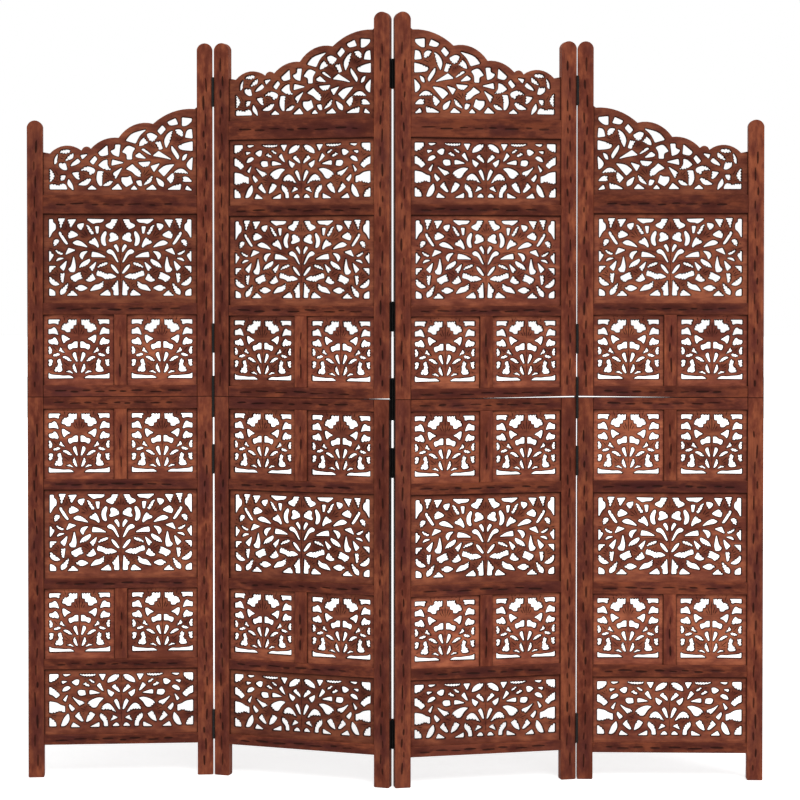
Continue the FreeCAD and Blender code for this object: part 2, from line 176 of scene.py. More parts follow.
# How far each leaf turns out of the plane of the screen, in degrees, how light its frame and panels are,
# and how light each kind of panel is
leaf_turns = {"a": 4.0, "b": -18.0, "c": 12.0, "d": -1.7}
frame_tones = {"a": 0.94, "b": 0.92, "c": 0.90, "d": 1.0}
fretwork_tones = {"a": 0.96, "b": 0.90, "c": 1.16, "d": 1.10}
kind_tones = {"square": 1.26, "tree": 0.97, "medium": 0.90, "crest": 0.88}
piece_tones = (0.82, 1.12)

# Wood colours: the stain in cuts, also painted as shade in openings, along the frame and at the split, a
# purple tinge, and dark, middle and light tones; and the grain's stretch
cut_stain_and_shade = (0.020, 0.006, 0.004)
purple_stain = (0.068, 0.018, 0.020)
stile_tones = (0.110, 0.024, 0.014), (0.168, 0.040, 0.023), (0.310, 0.086, 0.040)
rail_tones = (0.066, 0.015, 0.011), (0.098, 0.024, 0.015), (0.220, 0.057, 0.027)
panel_tones = (0.118, 0.029, 0.018), (0.186, 0.051, 0.029), (0.310, 0.095, 0.047)
along_height = (1.0, 1.0, 0.09)
along_width = (0.09, 1.0, 1.0)

# Light: two wide lamps with their direction, spread in degrees and strength, the world and the pale floor
key_light = {"direction": (-0.25, 0.60, -0.80), "spread": 35, "strength": 1.9}
fill_light = {"direction": (0.45, 0.80, -0.40), "spread": 60, "strength": 0.5}
world_light = 0.45
floor_glow = 0.60
floor_colour = (0.85, 0.85, 0.85, 1)
floor_size = 60

# Camera of the photograph, measured from the middle fold; tilt in degrees, lens and sensor in millimetres
camera_distance = 4.5
camera_aside = -0.0163
camera_height = 1.104
camera_tilt = 1.0
camera_lens = 95.2
camera_sensor = 36
camera_shift = (0.0188, -0.1175)

# Openings of the fretwork, one outline to a line. Points are percent of the half width
# to the right of the middle and percent of the height of the pierced field.
square_cuts = """
62,100 100,100 100,92.5 86,94 76,93.5 69,91.5
8,100 34,100 38,93 50,93 57,87 57,83 46,82 42,78.5 29,79 28,84.5 19,85 18,90.5 9,91
68,74 72,81 78,86.5 84,87 90,84 100,83.5 100,75.5 85,76.5 76,75.5
57,73.5 50,74 43,71 29,67 42,64.5 50,59.5 56,66
67,59 74,67 81,70 88,66 100,65.5 100,60 90,58 80,58.5 72,56.5
5,52 5,62.5 16,62.5 22,58.5 35,57.5 37,55 34,50 29,48.7 21,52
61,53 66.5,47 56,44.5 47,43
91,51 96,54 100,54 100,42 95,41 88,45
62,41 68,43 76,42 87,39.5 82,37 70,38
5,29 8.5,28.5 22.5,40 17,44 11,44
24,30 35,35.5 46,38 55,36.5 48,33.5 30,28.5
87,32 100,32 100,21 92,21 88,25
65,33.5 73,29.5 68.5,25 70,20.5 78,18.5 81,12 60,10.5 54,15.5 59,20 55.5,23.5 59.5,27 60,31.5
6.5,10 10,9.5 20,15 21.5,20 16.5,25.5 12,20
19,8 30,14 43,11.3 30,10
18,0.5 30,5 50,4 62,5 92,6 100,9 100,0
"""
tree_cuts = """
4,99 12,99 13,95 20,92.5 20,90 12,87 8,91.5
23,99 46,99.5 38,93.5 34,95.5 26,95.5
51,94 59,93 60,90 55,85.5 52,89
62,99 73,98.5 69,89
77,100 86,100 83,88
94,99 98.5,99 98.5,76 94,84 90,86 90,93 94,95
47,92 43,90 37,81 40,80 44,85
30,90 35,90 33,81.5 31,81.5
21,84 25,80 27,75 26,68 22,65 20,66 22,74 19,82
4,79 12,82.5 15,80 13,75.5 16,72 14,70 3,74
68,84.5 73,80 71,75 64,76.5 59,79 61,81
84,83.5 86,81 76,67 73,67.5 80,78
85,72 90,73.5 93,70 92,65 88,67
36,75.5 44,70 41,68 36,67 31,63 30,65 33,72
60,72.5 66,69 62,66.5 55,65.5 46,63.5 52,69
3,57 9,65 6,67 2.5,62
3,44 5,45 11,54.5 17,55.5 19,58 15,61 9,57.5
63,59.5 72,62 76,54
90,59.5 88,56 82,53.5 80,55
98.5,58.5 93,53 95,50 98.5,45
79,49 86,49.5 89,45.5
46,58 54,57 57,52 53,47.5 51,53
21,50.5 30,55.5 39,57 40,51 28,51
43,48 54,43 57,37 48,39 42,45.5
65,51 68,38 72,35 70,31.5 64,31.5 62,38
75,45.5 84,37.5 79,33 76.5,38
90,38.5 98.5,38.5 98.5,30.5
34,44 43,37 39,32.5 36,38
18,43.5 27,42 32,37 20,40
2.5,30 4.5,29.5 12,37 13,41 8,38.5
6,25 13,29 18,28 28,32 32,32.5 33,27 24,25 20,21
39,29 48,20.5 42,18.5 35,22
56,31 69,25 68,21.5 63,18.5 59,22 53,23
78,29.5 83,29 83,20 80,17.5
98.5,25 98.5,18 92,13.5 85,15 93,21
4,20 12,10.5 9,7 9,1.5 3,1.5
24,19 30,14.5 36,14.5 42,7 30,9 24,12
46,10.5 55,15 63,10.5 55,6
73,16.5 78,12 84,7 83,2 77,4 74,11
14,1 15,5 18,8 28,1.5
60,1 67,7 74,1
91,6 97,9 98.5,9 98.5,1 91,1
"""
medium_cuts = """
88,99 100,99 100,84.5 93,87 88,93
71,98.5 81,98.5 78,94.5
36,98.5 58,98.5 50,94.5 38,95
22,98 31,98 26,87
3,97 10,97.5 18,90 19,82.5 11,85 5,90
76,85.5 83,86 82,81
59,88 63,89 69,84 64,78 60,79
44,77 50,83 53,80 47,75.5
37,83 43,89 45,88 40,82
25,67 30,82 34,77 28,69
2.5,64 3,69 9,79 13,74 6,67
71,73.5 74,77 80,74 82,67 76,68
100,75.5 92,70 86,60 91,54.5 95,60 100,62
50,60 51,68 59,69 61,65 58,58
30,63 40,68 44,68 44,61
10,63 19,69.5 18,61 14,56
75,60 81,51 78,47.5
68,56 61,50 53,47 52,44 58,40 64,49
25,53 32,55 42,50 47,44 41,36 35,36 31,46
2,32 4,33 10,48 7,51.5 4,46
8,27 14,40 20,44.5 27,37 27,32 16,33
100,48 90,46 85,41 79,39 79,28 87,31 92,27 100,27
72,43 73,38 69,29.5 65,34
59,28 64.5,20 56,10 53,11 57,20
43,28 37,23 42,13 49,9 47,20
29,25 30,17 24,9 24,1 19,1 20,14 24,21
5.5,16.5 11,21 15,11
74,25 72,14 78,2 84,2 80,17
100,18 92,11 91,2 100,2
58,0 67,8 70,0
31,8 31,0 43,0
3,1 5,6 8,7 12,1
"""

# The crest is not symmetrical: here 0 is its middle and -100 its low end.
crest_cuts = """
-91,29 -85,23 -87,18 -91,15
-91,12 -84,12 -80,10 -76,13 -71,12 -69,7 -91,7
-81,46 -85,41 -85,35 -82,37
-78,48 -75,51 -66,51 -65,49 -70,47
-71,39 -66,45 -61,47 -61,42 -67,40
-79,36 -71,36 -69,29 -73,28.5 -79,32
-64,33 -62,36 -55,41 -52,38 -56,35
-51,45 -43,46 -49,41
-77,22 -71,22 -73,17 -77,17
-67,18 -62,12 -61,6 -69,12
-62,25 -54,26 -53,18 -57,19
-51,28 -44,33 -33,30 -33,26 -39,23 -41,28
-54,12 -42,19 -38,18 -43,11
-42,7 -37,11 -31,7
-39,38 -33,44 -30,41 -35,35
-28,48 -17,56 -16,46 -25,44
-28,34 -22,39 -17,40 -17,33 -12,29 -20,29
-29,27 -22,27 -24,20 -24,11 -27,11 -31,18
-22,11 -15,16 -10,16 -14,11
-11,7 -3,13 2,7
-6,57 0,57 -2,44 -9,46 -12,50 -6,52
-10,40 4,37 -11,34
-9,25 2,31 -6,19
3,49 8,55 12,56 19,53 15,48 15,41 9,41 9,47
8,62 15,70 33,74 25,68 20,59
25,56 26,61 31,65 36,60 30,57
35,69 40,71 48,67 44,61 38,62
28,52 31,53 40,46 35,48
20,45 25,48 33,42 22,43
43,45 50,50 66,41 57,43
46,60 52,61 55,53 51,52
49,73 55,79 59,75 53,69
57,62 62,70 68,73 65,62 60,54
62,83 72,87 75,81 65,79
81,88 93,87 93,84 86,79 81,79
72,74 78,75 82,71 81,67 75,69
87,74 93,75 94,65 85,66
76,56 84,59 94,61 94,51 78,52
67,56 72,51 77,44 75,41 67,51
81,40 82,45 87,47 85,41
86,36 94,43 93,29 89,31
24,37 39,38 36,33 30,32
40,33 51,36 44,27
50,28 58,34 70,35 57,22
70,26 76,30 82,30 88,25
8,30 16,35 20,31 27,27 26,21 20,23 16,27
2,15 2,20 10,20 13,22 16,14 8,10
21,16 27,17 28,11 24,11
31,12 37,19 42,22 40,15
47,20 57,15 56,10 50,12
61,19 68,25 70,24 69,17 66,14
82,21 88,21 93,16 82,16
62,7 70,11 79,13 78,7
14,7 18,11 22,7
34,7 42,12 47,7
85,7 87,11 93,6
"""

# Scallops of the crest's top edge: where each starts, and the crown of its arc
crest_scallops = "-91,47 -70,56 -50,50.5 -44,55 -38,52.5 -19,63.5 -2,65 18,79.5 43,81 67,94 97,98"

# Carved blossoms, at percent places, and the middle lines of the larger stems
square_blossoms = "0,78 77,49 38,22 78,24 46,98"
square_stems = """
15,35 30,44 48,56 60,68 63,82 58,94
0,6 0,62
"""
tree_blossoms = "0,88 47,80 77,88 90,63 24,36 47,30 90,27 17,14 70,13"
tree_stems = """
0,43 10,50 25,58 50,62 70,64.5 98,62
0,42 20,47 40,47 60,52 92,52
0,2 0,82
"""
medium_blossoms = "0,87 92,78 93,22 52,33 20,26 43,87"
medium_stems = """
3,25 10,50 20,57 50,54
0,8 0,80
"""
crest_blossoms = "-72,43 -83,18 -46,24 -16,23 33,24 75,20 41,57 75,64"
crest_stems = """
-60,10 -56,30 -40,35 -25,41 -12,44
-5,33 8,38 22,40 45,41
2,45 10,60 25,66 45,70
"""
blossom_radius = 0.0135
tulip_radius = 0.021

# Sizes that follow from those above
inner_width = leaf_width - 2 * stile_width
square_width = (inner_width - muntin_width) / 2
panel_front = (frame_thickness - panel_thickness) / 2
split_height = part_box("leaf_a_lower_left_stile")[1].z


def read_line(line):
    return [tuple(float(value) for value in point.split(",")) for point in line.split()]


def read_lines(text):
    return [read_line(line) for line in text.strip().splitlines()]


def both_sides(lines):
    """Each outline of a symmetrical design and its mirror image."""
    return lines + [[(-x, y) for x, y in line] for line in lines]


def area(loop):
    return sum(a[0] * b[1] - b[0] * a[1] for a, b in zip(loop, loop[1:] + loop[:1])) / 2


def wound(loop, clockwise):
    """The loop, turned round if it runs the other way."""
    return loop[::-1] if (area(loop) < 0) != clockwise else loop


def rounded(points, radius, steps=3):
    """Loop whose corners are eased by a short curve, and by a long one where they are blunt."""
    loop = []
    count = len(points)
    for index, corner in enumerate(points):
        here = Vector(corner)
        before = Vector(points[index - 1]) - here
        after = Vector(points[(index + 1) % count]) - here
        blunt = before.normalized().dot(after.normalized()) < blunt_cosine
        reach, share = (math.inf, blunt_share) if blunt else (radius, sharp_share)
        start = here + before.normalized() * min(reach, share * before.length)
        end = here + after.normalized() * min(reach, share * after.length)
        for step in range(steps + 1):
            t = step / steps
            loop.append(tuple((1 - t) ** 2 * start + 2 * t * (1 - t) * here + t ** 2 * end))
    return loop


def arc(start, crown, end, steps):
    """Points of the circle through three points, without the last one."""
    a, b, c = (complex(*point) for point in (start, crown, end))
    w = (c - a) / (b - a)
    centre = (b - a) * (w - abs(w) ** 2) / (2j * w.imag) + a
    span = (c - centre) / (a - centre)
    turn = math.atan2(span.imag, span.real)
    points = []
    for step in range(steps):
        angle = turn * step / steps
        point = centre + (a - centre) * complex(math.cos(angle), math.sin(angle))
        points.append((point.real, point.imag))
    return points


def serrated(loop, blossoms):
    """Clockwise opening, and the same one with saw teeth of wood along the edges of blossoms."""
    plain, toothed = [], []
    place, tip = tooth_pitch / 2, True
    round_length = sum(math.dist(a, b) for a, b in zip(loop, loop[1:] + loop[:1]))
    height = min(tooth_height, tooth_share * abs(area(loop)) / round_length)
    for a, b in zip(loop, loop[1:] + loop[:1]):
        plain.append(a)
        toothed.append(a)
        start, along = Vector(a), Vector(b) - Vector(a)
        middle = start + along / 2
        near = any((middle - Vector(centre)).length < radius * tooth_reach for centre, radius in blossoms)
        into_hole = Vector((along.y, -along.x)).normalized() * height
        while near and place < along.length:
            point = start + along.normalized() * place
            plain.append(tuple(point))
            toothed.append(tuple(point + into_hole * (1 if tip else 0)))
            place, tip = place + tooth_pitch / 2, not tip
        place = max(place - along.length, shortest_tooth_start)
    return plain, toothed


def shifted_left(loop, distances):
    """The loop moved into the wood, which lies to the left of its travel."""
    moved = []
    count = len(loop)
    for index, point in enumerate(loop):
        here = Vector(point)
        before = (here - Vector(loop[index - 1])).normalized()
        after = (Vector(loop[(index + 1) % count]) - here).normalized()
        side = Vector((-before.y - after.y, before.x + after.x))
        side.normalize()
        reach = max(corner_limit, side.dot(Vector((-before.y, before.x))))
        moved.append(tuple(here + side * distances[index] / reach))
    return moved


def crossed_points(ring, loop):
    """Which points of a moved loop belong to an edge that crosses another one or turned round."""
    starts = np.array(ring)
    ends = np.roll(starts, -1, axis=0)
    travel = np.roll(np.array(loop), -1, axis=0) - np.array(loop)

    def side(a, b, c):
        along, away = b - a, c - a
        return along[..., 0] * away[..., 1] - along[..., 1] * away[..., 0]

    a, b, c, d = starts[:, None], ends[:, None], starts[None], ends[None]
    parted = (side(a, b, c) * side(a, b, d) < 0) & (side(c, d, a) * side(c, d, b) < 0)
    hits = parted.any(1) | (((ends - starts) * travel).sum(1) < 0)
    return hits | np.roll(hits, 1)


def eased(loops, sizes, room_share):
    """Loops moved into the wood by given widths, and by less where the wood is narrow."""
    moved = []
    for index, (loop, size) in enumerate(zip(loops, sizes)):
        others = loops[:index] + loops[index + 1:]
        widths = np.full(len(loop), float(size))
        if others:
            widths = np.minimum(widths, room_share * np.abs(wood_room(loop, others)))
        for _ in range(fit_tries):
            fits = wood_room(shifted_left(loop, widths.tolist()), loops) > free_share * widths
            widths = np.where(fits, widths, fit_narrowing * widths)
        ring = shifted_left(loop, widths.tolist())
        for _ in range(crossing_tries):
            widths = np.where(crossed_points(ring, loop), crossing_narrowing * widths, widths)
            ring = shifted_left(loop, widths.tolist())
        moved.append(ring)
    return moved


def wood_room(points, loops):
    """How far each point is from the edges of the wood, negative where there is none."""
    points = np.array(points)[:, None, :]
    starts = np.concatenate([np.array(loop) for loop in loops])[None]
    ends = np.concatenate([np.roll(np.array(loop), -1, axis=0) for loop in loops])[None]
    along = ends - starts
    length = np.maximum((along ** 2).sum(2), 1e-14)
    share = np.clip(((points - starts) * along).sum(2) / length, 0, 1)
    gap = np.sqrt(((points - starts - share[..., None] * along) ** 2).sum(2)).min(1)
    rise = np.where(along[..., 1] == 0, 1e-14, along[..., 1])
    crossing = starts[..., 0] + (points[..., 1] - starts[..., 1]) / rise * along[..., 0]
    spans = (starts[..., 1] > points[..., 1]) != (ends[..., 1] > points[..., 1])
    inside = (spans & (points[..., 0] < crossing)).sum(1) % 2 == 1
    return np.where(inside, gap, -gap)


def stations(path, step):
    """Points at even steps along a path, ends included."""
    path = [Vector(point) for point in path]
    lengths = [(b - a).length for a, b in zip(path, path[1:])]
    total = sum(lengths)
    count = max(2, int(total / step))
    result = []
    for index in range(count + 1):
        left = total * index / count
        leg = 0
        while leg < len(lengths) - 1 and left > lengths[leg]:
            left -= lengths[leg]
            leg += 1
        result.append(tuple(path[leg].lerp(path[leg + 1], min(1.0, left / lengths[leg]))))
    return result


def longest_run(flags):
    best = (0, 0)
    start = None
    for index, flag in enumerate(list(flags) + [False]):
        if flag and start is None:
            start = index
        if not flag and start is not None:
            if index - start > best[1] - best[0]:
                best = (start, index)
            start = None
    return best


def clear_gouges(paths, half_width, depth, loops, made):
    """Gouges along the parts of the paths that keep to the wood and off other gouges."""
    for path in paths:
        points = stations(path, search_step)
        free = wood_room(points, loops) > half_width + carving_room
        for other in made:
            gaps = np.array(points)[:, None] - np.array(other["path"])[None]
            room = np.sqrt((gaps ** 2).sum(2)).min(1)
            free &= room > half_width + other["half_width"] + 2 * carving_room
        first, last = longest_run(free)
        if last - first > shortest_gouge_steps:
            run = stations(points[first:last], gouge_step)
            made.append({"path": run, "half_width": half_width, "depth": depth, "stain_and_shade": 1.0})


def gouge_sides(gouge):
    """Right and left edge of a lens-shaped cut along its path, between its two tips."""
    path = [Vector(point) for point in gouge["path"]]
    right, left = [], []
    for index in range(1, len(path) - 1):
        along = (path[index + 1] - path[index - 1]).normalized()
        fullness = math.sin(math.pi * index / (len(path) - 1)) ** 0.5
        across = Vector((along.y, -along.x)) * gouge["half_width"] * fullness
        right.append(tuple(path[index] + across))
        left.append(tuple(path[index] - across))
    return right, left


def carved_board(name, loops, faces, gouges, thickness, shade, lines=()):
    """Closed board, pierced and carved alike on front and back, its loops in x and z.

    The first loop is the outline and the others are openings; the faces are the same loops at the
    top of their sloping edges. The walls of openings are painted fully dark as shade. The shade tells
    how dark the stain or painted shade is at a place, the lines bound it.
    """
    slopes = [frame_bevel] + [cut_slope] * (len(loops) - 1)
    points, depths, stains_and_shades, wears, edges = [], [], [], [], []

    def add(new, depth, stain_and_shade, wear, closed):
        first = len(points)
        points.extend(new)
        depths.extend([depth] * len(new))
        stains_and_shades.extend([stain_and_shade] * len(new))
        wears.extend([wear] * len(new))
        edges.extend((first + i, first + i + 1) for i in range(len(new) - 1))
        if closed:
            edges.append((first + len(new) - 1, first))
        return list(range(first, first + len(new)))

    rings = [add(faces[0], 0, 0, outline_edge_wear, True)]
    rings += [add(face, 0, cut_edge_stain_and_shade, cut_edge_wear, True) for face in faces[1:]]
    for line in lines:
        add(line, 0, 0, 0, False)
    for gouge in gouges:
        right, left = gouge_sides(gouge)
        tips = gouge["path"][:1] + gouge["path"][-1:]
        add(tips[:1] + right + tips[1:] + left[::-1], 0, cut_edge_stain_and_shade, 0, True)
        valley = add(gouge["path"], gouge["depth"], gouge["stain_and_shade"], 0, False)
        for end in (valley[0], valley[-1]):
            depths[end] = 0
            stains_and_shades[end] = 0
    cdt_points = [Vector(point) for point in points]
    solid = rings[0]
    bays = [ring[::-1] for ring in rings[1:]]
    flat, _, triangles, sources, _, owners = delaunay_2d_cdt(cdt_points, edges, [solid] + bays, 1, 1e-7)
    triangles = [tri for tri, owner in zip(triangles, owners) if owner == [0]]
    place = {source: index for index, group in enumerate(sources) for source in group}

    def value(values, group):
        return max((values[source] for source in group), default=0)

    vertices = [(p.x, value(depths, g), p.y) for p, g in zip(flat, sources)]
    stain_and_shade = [value(stains_and_shades, g) for g in sources]
    wear = [value(wears, g) for g in sources]
    count = len(vertices)
    vertices += [(x, thickness - y, z) for x, y, z in vertices]
    stain_and_shade += stain_and_shade
    wear += wear
    polygons = list(triangles) + [[count + v for v in reversed(tri)] for tri in triangles]
    for index, (loop, ring, size) in enumerate(zip(loops, rings, slopes)):
        front = len(vertices)
        back = front + len(loop)
        vertices += [(x, size, z) for x, z in loop] + [(x, thickness - size, z) for x, z in loop]
        # The walls of openings are fully dark: painted shade inside the holes, fading over their sloping
        # rims
        stain_and_shade += [1.0 if index else outline_wall_stain] * (2 * len(loop))
        wear += [0 if index else outline_wall_wear] * (2 * len(loop))
        for i in range(len(loop)):
            j = (i + 1) % len(loop)
            near_i, near_j = place[ring[i]], place[ring[j]]
            polygons.append((near_i, front + i, front + j, near_j))
            polygons.append((front + i, back + i, back + j, front + j))
            polygons.append((back + i, count + near_i, count + near_j, back + j))
    stain_and_shade = [min(1, s + shade(v[0], v[2])) for s, v in zip(stain_and_shade, vertices)]
    mesh = bpy.data.meshes.new(name)
    mesh.from_pydata(vertices, [], polygons)
    mesh.attributes.new("stain_and_shade", "FLOAT", "POINT").data.foreach_set("value", stain_and_shade)
    mesh.attributes.new("wear", "FLOAT", "POINT").data.foreach_set("value", wear)
    mesh.shade_smooth()
    mesh.set_sharp_from_angle(angle=math.radians(smooth_angle))
    return mesh


def petal_lines(centre, radius, base):
    """Cuts that fan out over a blossom, away from the stem it grows on."""
    axis = Vector(centre) - Vector(base)
    axis.normalize()
    root = Vector(centre) - axis * radius * petal_root
    lines = []
    for step in (0, 1, -1, 2, -2):
        ray = axis.copy()
        ray.rotate(Matrix.Rotation(math.radians(step * petal_turn * blossom_radius / radius), 2))
        lines.append([tuple(root + ray * radius * petal_start), tuple(root + ray * radius * petal_end)])
    return lines


def fret_mesh(name, outline, cuts, growth, blossoms, stems, base, lines, width, top):
    """Pierced panel with toothed blossoms, petal cuts and grooved stems, and painted shadow along the frame.
    """
    cuts = [wound(rounded(cut, cut_corner), True) for cut in cuts]
    cuts = eased([outline] + cuts, [0] + [growth] * len(cuts), growth_room_share)[1:]
    toothed_blossoms = [spot for spot in blossoms if spot[1] < tulip_radius]
    plain_cuts, toothed_cuts = zip(*[serrated(cut, toothed_blossoms) for cut in cuts])
    faces = eased([outline, *plain_cuts], [frame_bevel] + [cut_bevel] * len(cuts), bevel_room_share)
    gouges = []
    for centre, radius in blossoms:
        clear_gouges(petal_lines(centre, radius, base), petal_half_width, petal_depth, faces, gouges)
    clear_gouges(stems, stem_half_width, stem_depth, faces, gouges)

    def shade(x, z):
        # Painted shadow: the panel's edge in the frame's groove is fully dark, fading out towards the shadow
        # lines on its border
        if x < 0 or x > width or z > top:
            return 1.0
        here = Vector((x, z))
        nearness = max(shade_reach - (here - Vector(centre)).length / radius for centre, radius in blossoms)
        return blossom_shade * min(1, max(0, nearness * shade_slope))

    return carved_board(name, [outline, *toothed_cuts], faces, gouges, panel_thickness, shade, lines)


def field_panel(name, width, cuts, blossoms, stems, first_radius):
    """Symmetrical panel, its lower left sight corner at the origin."""
    height = opening_heights[name]

    def place(point):
        half_field = width / 2 - border_side
        field_height = height - border_bottom - border_top
        return (width / 2 + point[0] / 100 * half_field, border_bottom + point[1] / 100 * field_height)

    def placed(lines):
        return [[place(point) for point in line] for line in lines]

    left, right, high = shadow_line_at_side, width - shadow_line_at_side, height - shadow_line_at_top
    outline = [(-tongue, -tongue), (left, -tongue), (right, -tongue), (width + tongue, -tongue),
               (width + tongue, height + tongue), (-tongue, height + tongue)]
    # Line that bounds the painted shadow along the frame at the sides and top
    lines = [[(left, 0), (left, high), (right, high), (right, 0)]]
    spots = []
    for x, y in read_line(blossoms):
        radius = first_radius if x == 0 else blossom_radius
        spots += [(place((side * x, y)), radius) for side in ((1, -1) if x else (1,))]
    return fret_mesh(name + "_fretwork", outline, placed(both_sides(read_lines(cuts))), cut_growth[name],
                     spots, placed(both_sides(read_lines(stems))), place((0, 5)), lines, width, height)


def crest_panel(name, mirrored):
    """Crest that rises to the right, or to the left if mirrored."""
    def place(point):
        x = (point[0] + 100) / 200 * inner_width
        return (inner_width - x if mirrored else x, point[1] / 100 * crest_height)

    outside = 100 + 200 * tongue / inner_width
    inside = 100 - 200 * shadow_line_at_side / inner_width
    marks = read_line(crest_scallops)
    top = [(-outside, crest_low_percent), (-100, crest_low_percent)]
    for start, crown, end in zip(marks[::2], marks[1::2], marks[2::2]):
        top += arc(start, crown, end, 8)
    top += [marks[-1], (100, 100), (outside, 100)]
    foot = -100 * tongue / crest_height
    foot_line = [(outside, foot), (inside, foot), (-inside, foot), (-outside, foot)]
    outline = [place(point) for point in foot_line + top]
    cuts = [[place(point) for point in line] for line in read_lines(crest_cuts)]
    stems = [[place(point) for point in line] for line in read_lines(crest_stems)]
    spots = [(place(point), blossom_radius) for point in read_line(crest_blossoms)]
    # Lines that bound the painted shadow along the frame at the crest's sides
    lines = [[place((-inside, 0)), place((-inside, crest_low_percent - 3))],
             [place((inside, 0)), place((inside, 97))]]
    return fret_mesh(name, wound(outline, False), cuts, cut_growth["crest"], spots, stems, place((10, 0)),
                     lines, inner_width, math.inf)


def chip_gouges(first, last, chips, rng, upright):
    """Row of short chisel cuts that wanders to both sides of a board's middle line."""
    gouges = []
    start = first + rng.uniform(*chips["gaps"])
    side = rng.choice((-1, 1))
    while start + chips["lengths"][1] < last:
        end = start + rng.uniform(*chips["lengths"])
        across = side * chips["spread"] * rng.uniform(*chip_offsets)
        lean = rng.uniform(-chip_lean, chip_lean)
        path = [(across - lean, start), (across + lean, end)]
        if not upright:
            path = [(along, over) for over, along in path]
        half_width = chip_half_width * rng.uniform(*chip_fullness)
        gouges.append({"path": stations(path, chip_step), "half_width": half_width,
                       "depth": chip_depth, "stain_and_shade": rng.uniform(*chip_stains)})
        start = end + rng.uniform(*chips["gaps"])
        side = -side
    return gouges


def slit(leaf, x):
    """How far the upper half of a leaf fails to meet the lower one, at a place along its width."""
    if leaf not in split_slits:
        return 0.0
    (start, first), (end, last) = split_slits[leaf]
    share = min(1, max(0, (x - start) / (end - start)))
    return first + share * (last - first)


def frame_board(name, outline, gouges, shade):
    """Stile, rail or muntin with chisel cuts, without openings."""
    faces = eased([outline], [frame_bevel], bevel_room_share)
    return carved_board(name, [outline], faces, gouges, frame_thickness, shade)


def stile_mesh(name, height, arched, slits, rng):
    """Stile piece with the middle of its foot at the origin, an arched top if it is an upper one."""
    half = stile_width / 2
    if arched:
        spring = height - stile_arch_rise
        top = arc((half, spring), (0, height), (-half, spring), 12) + [(-half, spring)]
        outline = [(-half, slits[0]), (half, slits[1])] + top
    else:
        feet = rounded([(-half, height / 2), (-half, 0), (half, 0), (half, height / 2)], foot_corner)
        outline = feet[4:12] + [(half, height), (-half, height)]
    gouges = chip_gouges(chip_margin, height - chip_margin - stile_arch_rise, stile_chips, rng, True)

    # Painted shade along the edge that meets the split between the two halves
    def at_split(x, z):
        return 1.0 if (z if arched else height - z) < frame_bevel / 2 else 0.0

    return frame_board(name, outline, gouges, at_split)


def rail_mesh(name, height, slits, split_side, rng):
    """Rail whose middle line starts at the origin. It may meet the split with its lower or upper side."""
    half = height / 2
    lower_edge = [(inner_width * index / slit_steps, gap - half) for index, gap in enumerate(slits)]
    outline = lower_edge + [(inner_width, half), (0, half)]
    gouges = chip_gouges(chip_margin, inner_width - chip_margin, rail_chips, rng, False)

    # Painted shade along the edge that meets the split between the two halves
    def at_split(x, z):
        return 1.0 if split_side and half - z * split_side < frame_bevel / 2 else 0.0

    return frame_board(name, outline, gouges, at_split)


def muntin_mesh(name, rng):
    """Muntin with the middle of its foot at the origin."""
    height = opening_heights["square"]
    half = muntin_width / 2
    outline = [(-half, 0), (half, 0), (half, height), (-half, height)]
    gouges = chip_gouges(chip_margin, height - chip_margin, rail_chips, rng, True)
    return frame_board(name, outline, gouges, lambda x, z: 0.0)


class Nodes:
    """Short way to add and link shader nodes."""

    def __init__(self, tree):
        self.tree = tree

    def add(self, kind, inputs=None, **settings):
        node = self.tree.nodes.new(kind)
        for key, setting in settings.items():
            setattr(node, key, setting)
        for key, source in (inputs or {}).items():
            if isinstance(source, bpy.types.NodeSocket):
                self.tree.links.new(source, node.inputs[key])
            else:
                node.inputs[key].default_value = source
        return node


def new_material(name):
    material = bpy.data.materials.new(name)
    material.use_nodes = True
    material.node_tree.nodes.clear()
    return material, Nodes(material.node_tree)


def ramp(nodes, source, stops):
    """Colour ramp: (place, colour) pairs."""
    node = nodes.add("ShaderNodeValToRGB", {"Fac": source})
    elements = node.color_ramp.elements
    while len(elements) < len(stops):
        elements.new(0.5)
    for element, (position, colour) in zip(elements, stops):
        element.position = position
        element.color = (*colour, 1)
    return node.outputs["Color"]


def mixed(nodes, factor, first, second, blend="MIX"):
    node = nodes.add("ShaderNodeMix", data_type="RGBA", blend_type=blend)
    for index, source in ((0, factor), (6, first), (7, second)):
        if isinstance(source, bpy.types.NodeSocket):
            nodes.tree.links.new(source, node.inputs[index])
        else:
            node.inputs[index].default_value = source if index == 0 else (*source, 1)
    return node.outputs[2]


def scaled(nodes, source, low, high):
    """The source, from 0 to 1, spread from low to high."""
    return nodes.add("ShaderNodeMapRange", {"Value": source, "To Min": low, "To Max": high}).outputs[0]


def computed(nodes, operation, first, second):
    return nodes.add("ShaderNodeMath", {0: first, 1: second}, operation=operation).outputs[0]


def product(nodes, first, second):
    return computed(nodes, "MULTIPLY", first, second)


def bumped(nodes, height, strength, distance):
    """Surface direction with a fine relief."""
    inputs = {"Strength": strength, "Distance": distance, "Height": height}
    return nodes.add("ShaderNodeBump", inputs).outputs["Normal"]


def seen_directly(nodes):
    """1 for what the camera sees, also by a reflection or through glass, and 0 for light on the object."""
    rays = nodes.add("ShaderNodeLightPath").outputs
    seen = computed(nodes, "MAXIMUM", rays["Is Camera Ray"], rays["Is Glossy Ray"])
    return computed(nodes, "MAXIMUM", seen, rays["Is Transmission Ray"])


